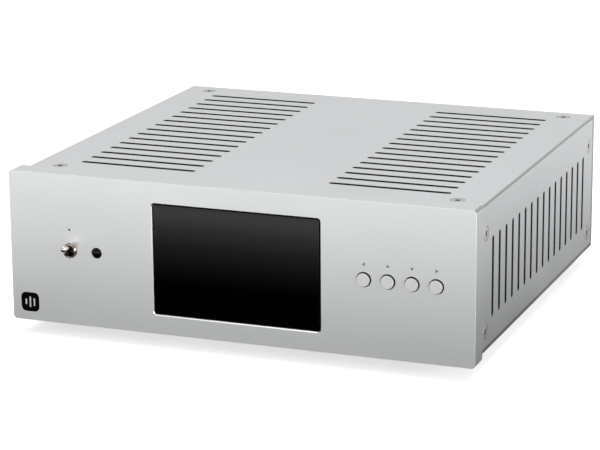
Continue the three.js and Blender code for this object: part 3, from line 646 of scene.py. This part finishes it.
def build_top_cover():
    depth = cover_high.z - cover_low.z
    edge = through(depth, 0.25 * MM, 0.1 * MM)
    size = (cover_high.x - cover_low.x, cover_high.y - cover_low.y)
    whole = (cover_low + cover_high) / 2
    holes = []
    # The walls of the slots and countersinks get the near-black painted shade.
    for side in (-1, 1):
        for y in slot_places():
            outline = slot_outline((side * TOP_SLOT_X, y), TOP_SLOT_LENGTH, SLOT_WIDTH, 0)
            holes.append((outline, through(depth, DEBURR), 2))
    for end in ("front", "back"):
        for side in ("left", "right"):
            screw = middle(f"cover_screw_{end}_{side}")
            holes.append(screw_hole((screw.x, screw.y), depth, 2))
    bm = bmesh.new()
    # The cover's outer edge gets the darker grey: painted shade.
    outer = (rounded((whole.x, whole.y), size, 0.3 * MM, 3), edge, 1)
    panel(bm, on_face("top", cover_high.z), outer, holes)
    piece(
        "top_cover_sheet", bm, "case", ["top_cover"], "cover_aluminium",
        SATIN, EDGE_PAINTED_SHADE, SLOT_PAINTED_SHADE,
    )


def build_side_panels():
    for side, sign in (("left", -1), ("right", 1)):
        node = f"{side}_side_panel"
        low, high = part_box(node)
        depth = high.x - low.x
        whole = (low + high) / 2
        lower, upper = (middle(f"{side}_screw_front_{level}").z for level in ("lower", "upper"))
        slot_z = (lower + upper) / 2 + SIDE_SLOT_RISE
        holes = []
        # The walls of the slots and countersinks get the near-black painted shade.
        for y in slot_places():
            outline = slot_outline((y, slot_z), SIDE_SLOT_LENGTH, SLOT_WIDTH, 1)
            holes.append((outline, through(depth, DEBURR), 1))
        for end in ("front", "back"):
            for level in ("lower", "upper"):
                screw = middle(f"{side}_screw_{end}_{level}")
                holes.append(screw_hole((screw.y, screw.z), depth, 1))
        bm = bmesh.new()
        size = (high.y - low.y, high.z - low.z)
        outer = (rounded((whole.y, whole.z), size, 0.25 * MM, 3), through(depth, 0.12 * MM), 0)
        panel(bm, on_face(side, high.x if sign > 0 else low.x), outer, holes)
        piece(f"{side}_side_sheet", bm, "case", [node], "cover_aluminium", SATIN, SLOT_PAINTED_SHADE)


def build_bottom_plate():
    low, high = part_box("bottom_plate")
    sheet = 1.5 * MM
    size = (high.x - low.x, high.y - low.y)
    whole = (low + high) / 2
    bm = bmesh.new()
    outer = (rounded((whole.x, whole.y), size, 0.4 * MM, 3), through(sheet, 0.15 * MM, 0.1 * MM), 0)
    panel(bm, on_face("bottom", low.z), outer)
    for x in (-PILLAR_X, PILLAR_X):
        for y in PILLAR_Y:
            base = (x, slot_middle_y + y, low.z + sheet - 0.1 * MM)
            top = high.z - base[2]
            turned(bm, base, Z_AXIS, [(0, 0), (PILLAR_R, 0), (PILLAR_R, top), (0, top)], 24)
    piece("base_sheet", bm, "case", ["bottom_plate"], "sheet_steel", STEEL)


# ---- screws -------------------------------------------------------------
def build_screws():
    head, shank, length = SCREW_HEAD_R, 1.5 * MM, 6 * MM
    key_size, key_depth, lead_in = 1.12 * MM, 1.1 * MM, 0.12 * MM
    facings = {"cover": "top", "left": "left", "right": "right", "rear": "rear"}
    for node in sorted(n for n in frame["nodes"] if "_screw_" in n):
        face = facings[node.split("_")[0]]
        across, up, normal = FACES[face]
        low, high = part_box(node)
        centre = (low + high) / 2
        corner = low if sum(normal) < 0 else high
        level = sum(corner[axis] for axis in range(3) if abs(normal[axis]) > 0.5)
        point = (centre.dot(across), centre.dot(up))
        rings = [*round_edge(0.1 * MM), (0, CONE_MOUTH), (head - shank, CONE_MOUTH + CONE_DEPTH),
                 (head - shank, length)]
        bm = bmesh.new()
        # The key socket's walls and floor get the dark grey painted shade.
        key_rings = [(lead_in, 0), (0, lead_in), (0, key_depth)]
        panel(
            bm, on_face(face, level), (circle(point, head, 48), rings, 0), (),
            [(circle(point, key_size, 6, math.radians(15)), key_rings, 1)],
        )
        # Heads on the cover take the darker copy of the nickel, with its painted shade.
        head_material = COVER_SCREW_PAINTED_SHADE if face == "top" else SCREW
        piece(node + "_m3", bm, "case", [node], "screw_steel", head_material, SOCKET_PAINTED_SHADE)


# ---- feet ---------------------------------------------------------------
def build_feet():
    contact, widest, lower_round, upper_round = 8.4 * MM, 10 * MM, 0.8 * MM, 0.4 * MM
    for end in ("front", "back"):
        for side in ("left", "right"):
            node = f"foot_{end}_{side}"
            low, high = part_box(node)
            centre = (low + high) / 2
            height = high.z - low.z
            profile = [
                (0, 0), (contact, 0), *arc((contact, lower_round), lower_round, -90, 0, 4)[1:],
                *arc((widest - upper_round, height - upper_round), upper_round, 0, 90, 3),
                (0, height),
            ]
            bm = bmesh.new()
            turned(bm, (centre.x, centre.y, low.z), Z_AXIS, profile, 64)
            piece(f"{node}_pad", bm, "case", [node], "foot_rubber", RUBBER)


# ---- rear ---------------------------------------------------------------
rear_low, rear_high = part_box("rear_panel")
FLANGE_T = 2 * MM
FLANGE_SIZE = (26 * MM, 31 * MM)
FLANGE_CORNER = 3 * MM
FLANGE_WALL = [(0, 0), (0, FLANGE_T - 0.1 * MM)]
RIVET_X, RIVET_Z = 9.6, 12.2
CONTACT_OFFSET = 3.9
BALANCED_R = 11.8 * MM
BALANCED_GAP = 0.3 * MM
PHONO_HOLE_R = 6.1 * MM
POWER_HOLE_R = 4.5 * MM
USB_HOLE = (12.6 * MM, 11.6 * MM)
LINK_HOLE = (15.6 * MM, 6.2 * MM)
OPTICAL_HOLE = (11.4 * MM, 11.4 * MM)
OPENING_CORNER = 0.4 * MM


def build_rear_panel():
    depth = rear_high.y - rear_low.y
    whole = (rear_low + rear_high) / 2
    wall_rings = through(depth, 0.12 * MM)
    holes = []

    def hole(node, radius):
        centre = middle(node)
        holes.append((circle((centre.x, centre.z), radius, 48), wall_rings, 0))

    def opening(node, size):
        centre = middle(node)
        outline = rounded((centre.x, centre.z), size, OPENING_CORNER, 3)
        holes.append((outline, wall_rings, 0))

    # The hole of aes_in is round only, so its latch tab runs through the sheet behind the flange.
    for node in ("balanced_out_left", "balanced_out_right", "aes_in"):
        hole(node, BALANCED_R + BALANCED_GAP)
    for node in ("line_out_left", "line_out_right", "coaxial_in"):
        hole(node, PHONO_HOLE_R)
    hole("power_inlet", POWER_HOLE_R)
    opening("usb_in", USB_HOLE)
    opening("i2s_in", LINK_HOLE)
    opening("optical_in", OPTICAL_HOLE)
    for side in ("left", "right"):
        for level in ("lower", "upper"):
            screw = middle(f"rear_screw_{level}_{side}")
            holes.append(screw_hole((screw.x, screw.z), depth, 0))
    bm = bmesh.new()
    size = (rear_high.x - rear_low.x, rear_high.z - rear_low.z)
    # The panel's outer edge gets the darker grey: painted shade.
    outer = (rounded((whole.x, whole.z), size, 0.3 * MM, 3), through(depth, 0.2 * MM, 0.1 * MM), 1)
    panel(bm, on_face("rear", rear_high.y), outer, holes)
    piece("rear_panel_sheet", bm, "case", ["rear_panel"], "cover_aluminium", SATIN, EDGE_PAINTED_SHADE)


def rear_point(centre, x=0.0, out=0.0, z=0.0):
    """A point beside a socket's axis, in millimetres; out is how far it is from the panel."""
    return Vector((centre.x + x * MM, rear_high.y + out * MM, centre.z + z * MM))


def flange(bm, centre, holes):
    """An oblong flange with round corners and a rivet in each of two of them."""
    outline = rounded((centre.x, centre.z), FLANGE_SIZE, FLANGE_CORNER)
    outer = (outline, through(FLANGE_T - 0.1 * MM, 0.5 * MM), 0)
    panel(bm, on_face("rear", rear_high.y + FLANGE_T), outer, holes)
    head = [
        (0, 0), (2.6 * MM, 0), *arc((2.0 * MM, 0), 0.6 * MM, 0, 90, 4), (0.9 * MM, 0.6 * MM),
        (0.7 * MM, 0.2 * MM), (0, 0.2 * MM),
    ]
    for side in (-1, 1):
        foot = rear_point(centre, side * RIVET_X, 1.95, side * RIVET_Z)
        turned(bm, foot, Y_AXIS, head, 32, 1)


def build_balanced_outputs():
    rim = 10.6 * MM
    for side in ("left", "right"):
        node = f"balanced_out_{side}"
        centre = middle(node)
        bm = bmesh.new()
        flange(bm, centre, [(circle((centre.x, centre.z), rim, 64), FLANGE_WALL, 0)])
        profile = [(0, -18), (11.8, -18), (11.8, 0.05), (10.6, 0.05), (10.6, 2.3), (10.4, 2.5),
                   (9.7, 2.5), (9.4, 2.2), (9.4, -12), (0, -12)]
        turned(bm, rear_point(centre), Y_AXIS, [(r * MM, h * MM) for r, h in profile], 64)
        pin = [(0, -12.5), (1.2, -12.5), (1.2, -1.4), (0.95, -0.85), (0.5, -0.5), (0, -0.5)]
        pin = [(r * MM, h * MM) for r, h in pin]
        for x, z in ((CONTACT_OFFSET, 0), (-CONTACT_OFFSET, 0), (0, -CONTACT_OFFSET)):
            turned(bm, rear_point(centre, x, 0, z), Y_AXIS, pin, 24, 2)
        guide = [(0, -12.2), (2.2, -12.2), (2.2, -11.2), (0, -11.2)]
        turned(bm, rear_point(centre), Y_AXIS, [(r * MM, h * MM) for r, h in guide], 24)
        piece(f"balanced_socket_{side}", bm, "case", [node], "socket_plastic", MOULDED, SCREW, GOLD)


def build_balanced_input():
    centre = middle("aes_in")
    latch_rise, latch_size = 12.3 * MM, (8.8 * MM, 4 * MM)
    well_outline = rounded((centre.x, centre.z + latch_rise), latch_size, 0.4 * MM, 3)
    mouth = circle((centre.x, centre.z), 9.8 * MM, 64)
    mouth_rings = [(0.2 * MM, 0), (0, 0.2 * MM), (0, FLANGE_T - 0.1 * MM)]
    bm = bmesh.new()
    flange(bm, centre, [(mouth, mouth_rings, 0), (well_outline, FLANGE_WALL, 0)])
    barrel = [(0, -18), (10.2, -18), (10.2, 0.05), (9.6, 0.05), (9.6, -11), (0, -11)]
    turned(bm, rear_point(centre), Y_AXIS, [(r * MM, h * MM) for r, h in barrel], 64)
    contacts = []
    for x, z in ((-CONTACT_OFFSET, 0), (CONTACT_OFFSET, 0), (0, CONTACT_OFFSET)):
        outline = circle((centre.x + x * MM, centre.z + z * MM), 1.3 * MM, 24)
        contacts.append((outline, [(0.3 * MM, 0), (0, 0.3 * MM), (0, 9 * MM)], 2))
    insert = (circle((centre.x, centre.z), 7.4 * MM, 64), through(12.2 * MM, 0.5 * MM), 0)
    panel(bm, on_face("rear", rear_high.y + 1 * MM), insert, (), contacts)
    piece("balanced_input_socket", bm, "case", ["aes_in"], "socket_plastic", MOULDED, SCREW, GOLD)

    low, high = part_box("aes_latch")
    lip = 1.8 * MM
    bm = bmesh.new()
    block(bm, low, (high.x, high.y - lip, high.z), 0.25 * MM)
    block(bm, (low.x, high.y - lip - 0.6 * MM, low.z), (high.x, high.y, high.z - 1 * MM), 0.3 * MM)
    piece("latch_tab", bm, "latch", ["aes_latch"], "nickel", NICKEL)


def build_phono_sockets():
    insulators = {"line_out_left": WHITE, "line_out_right": RED, "coaxial_in": ORANGE}
    for node, colour in insulators.items():
        centre = middle(node)
        bm = bmesh.new()
        washer = [(0, -4), (5.8, -4), (5.8, 0.7), (5.5, 1), (0, 1)]
        turned(bm, rear_point(centre), Y_AXIS, [(r * MM, h * MM) for r, h in washer], 48, 1)
        nut = circle((centre.x, centre.z), 5.4 * MM, 6, math.radians(10))
        panel(bm, on_face("rear", rear_high.y + 2.6 * MM), (nut, through(1.65 * MM, 0.25 * MM), 0))
        barrel = [(0, 0.9), (4.15, 0.9), (4.15, 8.9), (3.95, 9.3), (3.4, 9.3), (3.3, 9.2),
                  (3.3, 8.5), (0, 8.5)]
        turned(bm, rear_point(centre), Y_AXIS, [(r * MM, h * MM) for r, h in barrel], 48)
        core = [(3.3, 8.45), (3.3, 8.75), (1.65, 8.75), (1.65, 3), (0, 3), (0, 2.6), (3.25, 2.6),
                (3.3, 8.45)]
        turned(bm, rear_point(centre), Y_AXIS, [(r * MM, h * MM) for r, h in core], 48, 1)
        block(bm, rear_point(centre, -5.5, -15, -6), rear_point(centre, 5.5, -3.9, 6), 0.3 * MM, 2)
        piece(f"{node}_phono", bm, "case", [node], "gold_plate", GOLD, colour, MOULDED)


def shell(bm, centre, size, mouth, out, depth, corner, material=0, inner=0):
    """An oblong socket shell with a blind mouth; sizes in millimetres."""
    outer = (rounded((centre.x, centre.z), (size[0] * MM, size[1] * MM), corner * MM, 4),
             through((out + size[2]) * MM, 0.12 * MM), material)
    well = (rounded((centre.x, centre.z), (mouth[0] * MM, mouth[1] * MM), corner * 0.6 * MM, 4),
            [(0.15 * MM, 0), (0, 0.15 * MM), (0, (out + depth) * MM)], inner)
    panel(bm, on_face("rear", rear_high.y + out * MM), outer, (), [well], material)


def build_data_sockets():
    centre = middle("optical_in")
    bm = bmesh.new()
    shell(bm, centre, (10.8, 10.8, 14), (9.4, 8.4), 1, 10, 0.5)
    piece("optical_socket", bm, "case", ["optical_in"], "socket_plastic", MOULDED)

    low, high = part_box("optical_shutter")
    bm = bmesh.new()
    block(bm, low, high, 0.15 * MM)
    piece("optical_flap", bm, "shutter", ["optical_shutter"], "socket_plastic", MOULDED)

    centre = middle("usb_in")
    bm = bmesh.new()
    shell(bm, centre, (12, 11, 16), (8.6, 7.8), 0.6, 9, 0.6)
    block(bm, rear_point(centre, -2.8, -9.5, -1.6), rear_point(centre, 2.8, -1, 1.6), 0.25 * MM, 1)
    for x in (-1.4, 1.4):
        for z in (-1.65, 1.65):
            inner = rear_point(centre, x - 0.5, -8, z - 0.1)
            outer = rear_point(centre, x + 0.5, -1.4, z + 0.1)
            block(bm, inner, outer, 0, 2)
    piece("usb_socket", bm, "case", ["usb_in"], "socket_shell", TINNED, WHITE, GOLD)

    centre = middle("i2s_in")
    bm = bmesh.new()
    shell(bm, centre, (15, 5.6, 12), (14, 4.6), 0.6, 8, 0.8)
    block(bm, rear_point(centre, -5.2, -8.5, -0.1), rear_point(centre, 5.2, -1, 0.9), 0.1 * MM, 1)
    link_contacts, link_pitch = 9, 1.1
    for index in range(link_contacts):
        x = (index - link_contacts // 2) * link_pitch
        inner = rear_point(centre, x - 0.2, -7.5, -0.16)
        outer = rear_point(centre, x + 0.2, -1.3, 0)
        block(bm, inner, outer, 0, 2)
    piece("link_socket", bm, "case", ["i2s_in"], "socket_shell", TINNED, MOULDED, GOLD)

    centre = middle("power_inlet")
    bm = bmesh.new()
    block(bm, rear_point(centre, -4.5, -14, -5.5), rear_point(centre, 4.5, -3.4, 5.5), 0.3 * MM)
    nose = [(0, -9), (2.8, -9), (2.8, 0.2), (3.1, 0.5), (3.9, 0.5), (4.2, 0.2), (4.2, -3.6),
            (0, -9.6)]
    turned(bm, rear_point(centre), Y_AXIS, [(r * MM, h * MM) for r, h in nose], 48)
    pin = [(0, -9.5), (1, -9.5), (1, -1), (0.7, -0.5), (0, -0.5)]
    turned(bm, rear_point(centre), Y_AXIS, [(r * MM, h * MM) for r, h in pin], 24, 1)
    piece("power_socket", bm, "case", ["power_inlet"], "socket_plastic", MOULDED, NICKEL)


# ---- inside -------------------------------------------------------------
def finish_inner_nodes():
    """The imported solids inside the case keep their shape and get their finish."""
    finishes = {
        "display_module": STEEL, "front_frame": STEEL, "rear_frame": STEEL, "shield_can": TINNED,
        "front_board": BOARD, "main_board": BOARD, "ribbon_cable": RIBBON,
        "reservoir_capacitor_left": SLEEVE, "reservoir_capacitor_right": SLEEVE,
        "heat_sink_left": BLACK_FINS, "heat_sink_right": BLACK_FINS,
    }
    for node, material in finishes.items():
        mesh = frame["nodes"][node].data
        mesh.materials.clear()
        mesh.materials.append(material)


build_front_plate()
build_window()
build_status_lens()
build_dome()
build_keys()
build_key_symbols()
build_mark()
build_toggle()
build_lever()
build_top_cover()
build_side_panels()
build_bottom_plate()
build_screws()
build_feet()
build_rear_panel()
build_balanced_outputs()
build_balanced_input()
build_phono_sockets()
build_data_sockets()
finish_inner_nodes()


# ---- studio -------------------------------------------------------------
WORLD_STRENGTH = 0.6
FLOOR_SIZE = 12
FLOOR_LEVEL = -0.05 * MM
FLOOR_GLOW = 0.55
CARD_LEVEL = -1 * MM
CARD_BRIGHT = 1.32
CARD_UNDER = 0.35
CARD_REACH = 0.5
# (distance from the object as a share of CARD_REACH, brightness as a share of CARD_BRIGHT),
# in front of the object and further back.
CARD_FRONT = (
    (0.12, 0.0), (0.17, 0.0), (0.23, 0.08), (0.29, 0.22), (0.35, 0.5), (0.41, 0.9),
    (0.47, 0.5), (0.68, 0.35), (0.9, 0.87),
)
CARD_REAR = (
    (0.1, 0.13), (0.16, 0.27), (0.23, 0.3), (0.29, 0.25), (0.35, 0.42), (0.41, 1.0),
    (0.47, 0.3), (0.68, 0.25), (0.9, 0.87),
)
# The places along Y between which the brightness turns from CARD_FRONT to CARD_REAR.
CARD_TURN = (0.01, 0.05)
UNDERNEATH = 0.1 * MM  # The card lies under the object where its distance is smaller.
# Each soft light's name, place, side and power. The left one stands lower than the floor, which
# casts no shadow and lets it through, and gives the soft shadow beside the toggle.
SOFT_LIGHTS = (
    ("front_light", (0.25, -1.8, 0.25), 1.0, 4.2),
    ("left_light", (-0.75, -1.65, -0.2), 0.22, 1.7),
    ("right_light", (1.9, -0.7, 0.3), 1.0, 32.6),
    ("top_light", (0.0, 0.0, 1.8), 1.6, 15.6),
)


def plain_material(name):
    """A material with an empty node tree."""
    material = bpy.data.materials.new(name)
    material.use_nodes = True
    material.node_tree.nodes.clear()
    return material, material.node_tree


def make_floor():
    """A pale floor that only the camera sees, and only from above; it takes a light shadow."""
    material, tree = plain_material("pale_floor")
    diffuse = tree.nodes.new("ShaderNodeBsdfDiffuse")
    diffuse.inputs["Color"].default_value = (0.85, 0.85, 0.85, 1)
    glow = tree.nodes.new("ShaderNodeEmission")
    glow.inputs["Strength"].default_value = FLOOR_GLOW
    lit = tree.nodes.new("ShaderNodeAddShader")
    clear = tree.nodes.new("ShaderNodeBsdfTransparent")
    sides = tree.nodes.new("ShaderNodeMixShader")
    output = tree.nodes.new("ShaderNodeOutputMaterial")
    geometry = tree.nodes.new("ShaderNodeNewGeometry")
    tree.links.new(diffuse.outputs[0], lit.inputs[0])
    tree.links.new(glow.outputs[0], lit.inputs[1])
    tree.links.new(geometry.outputs["Backfacing"], sides.inputs["Fac"])
    tree.links.new(lit.outputs[0], sides.inputs[1])
    tree.links.new(clear.outputs[0], sides.inputs[2])
    tree.links.new(sides.outputs[0], output.inputs["Surface"])
    floor = make_sheet("floor", FLOOR_SIZE, FLOOR_LEVEL, material)
    floor.visible_glossy = False
    floor.visible_diffuse = False
    floor.visible_shadow = False


def brightness(tree, place, stops):
    """The brightness at a place along a list of (place, brightness) stops."""
    ramp = tree.nodes.new("ShaderNodeValToRGB")
    elements = ramp.color_ramp.elements
    while len(elements) < len(stops):
        elements.new(0.5)
    for element, (position, value) in zip(elements, stops):
        element.position = position
        element.color = (value, value, value, 1)
    tree.links.new(place, ramp.inputs["Fac"])
    return ramp.outputs["Color"]


def calculated(tree, operation, value, second=None):
    """The result of a math node that takes a linked value and, where it needs one, a number."""
    node = tree.nodes.new("ShaderNodeMath")
    node.operation = operation
    tree.links.new(value, node.inputs[0])
    if second is not None:
        node.inputs[1].default_value = second
    return node.outputs["Value"]


def make_card():
    """The table top as the object sees it: dark where it stands and bright further off."""
    material, tree = plain_material("reflected_table")
    where = tree.nodes.new("ShaderNodeTexCoord").outputs["Object"]
    centre, half = (cad_low + cad_high) / 2, (cad_high - cad_low) / 2
    split = tree.nodes.new("ShaderNodeSeparateXYZ")
    tree.links.new(where, split.inputs[0])
    outside = tree.nodes.new("ShaderNodeCombineXYZ")
    for axis in ("X", "Y"):
        index = "XY".index(axis)
        shift = calculated(tree, "SUBTRACT", split.outputs[axis], centre[index])
        beyond = calculated(tree, "SUBTRACT", calculated(tree, "ABSOLUTE", shift), half[index])
        tree.links.new(calculated(tree, "MAXIMUM", beyond, 0), outside.inputs[axis])
    length = tree.nodes.new("ShaderNodeVectorMath")
    length.operation = "LENGTH"
    tree.links.new(outside.outputs["Vector"], length.inputs[0])
    share = calculated(tree, "DIVIDE", length.outputs["Value"], CARD_REACH)
    rear = tree.nodes.new("ShaderNodeMapRange")
    rear.inputs["From Min"].default_value, rear.inputs["From Max"].default_value = CARD_TURN
    tree.links.new(split.outputs["Y"], rear.inputs["Value"])
    mixed = tree.nodes.new("ShaderNodeMix")
    tree.links.new(rear.outputs["Result"], mixed.inputs["Factor"])
    tree.links.new(brightness(tree, share, CARD_FRONT), mixed.inputs["A"])
    tree.links.new(brightness(tree, share, CARD_REAR), mixed.inputs["B"])
    brighter = calculated(tree, "MULTIPLY", mixed.outputs["Result"], CARD_BRIGHT)
    under = calculated(tree, "LESS_THAN", length.outputs["Value"], UNDERNEATH)
    choice = tree.nodes.new("ShaderNodeMix")
    choice.inputs["B"].default_value = CARD_UNDER
    tree.links.new(under, choice.inputs["Factor"])
    tree.links.new(brighter, choice.inputs["A"])
    glow = tree.nodes.new("ShaderNodeEmission")
    output = tree.nodes.new("ShaderNodeOutputMaterial")
    tree.links.new(choice.outputs["Result"], glow.inputs["Strength"])
    tree.links.new(glow.outputs[0], output.inputs["Surface"])
    card = make_sheet("reflected_table", FLOOR_SIZE, CARD_LEVEL, material)
    card.visible_camera = False
    card.visible_shadow = False


def make_sheet(name, size, height, material):
    """A level square under the object."""
    mesh = bpy.data.meshes.new(name)
    half = size / 2
    corners = [(-half, -half), (half, -half), (half, half), (-half, half)]
    mesh.from_pydata([(x, y, height) for x, y in corners], [], [(0, 1, 2, 3)])
    mesh.materials.append(material)
    sheet = bpy.data.objects.new(name, mesh)
    scene.collection.objects.link(sheet)
    return sheet


def softbox(name, place, size, power):
    """A square soft light that faces the object."""
    data = bpy.data.lights.new(name, "AREA")
    data.shape = "SQUARE"
    data.size = size
    data.energy = power
    light = bpy.data.objects.new(name, data)
    light.location = place
    aim = (cad_low + cad_high) / 2 - Vector(place)
    light.rotation_mode = "QUATERNION"
    light.rotation_quaternion = aim.to_track_quat("-Z", "Y")
    light.visible_camera = False
    scene.collection.objects.link(light)


def make_studio():
    world = bpy.data.worlds.new("studio")
    world.use_nodes = True
    background = world.node_tree.nodes["Background"]
    background.inputs["Color"].default_value = (1, 1, 1, 1)
    background.inputs["Strength"].default_value = WORLD_STRENGTH
    scene.world = world
    scene.view_settings.view_transform = "Standard"
    make_floor()
    make_card()
    for light in SOFT_LIGHTS:
        softbox(*light)


make_studio()
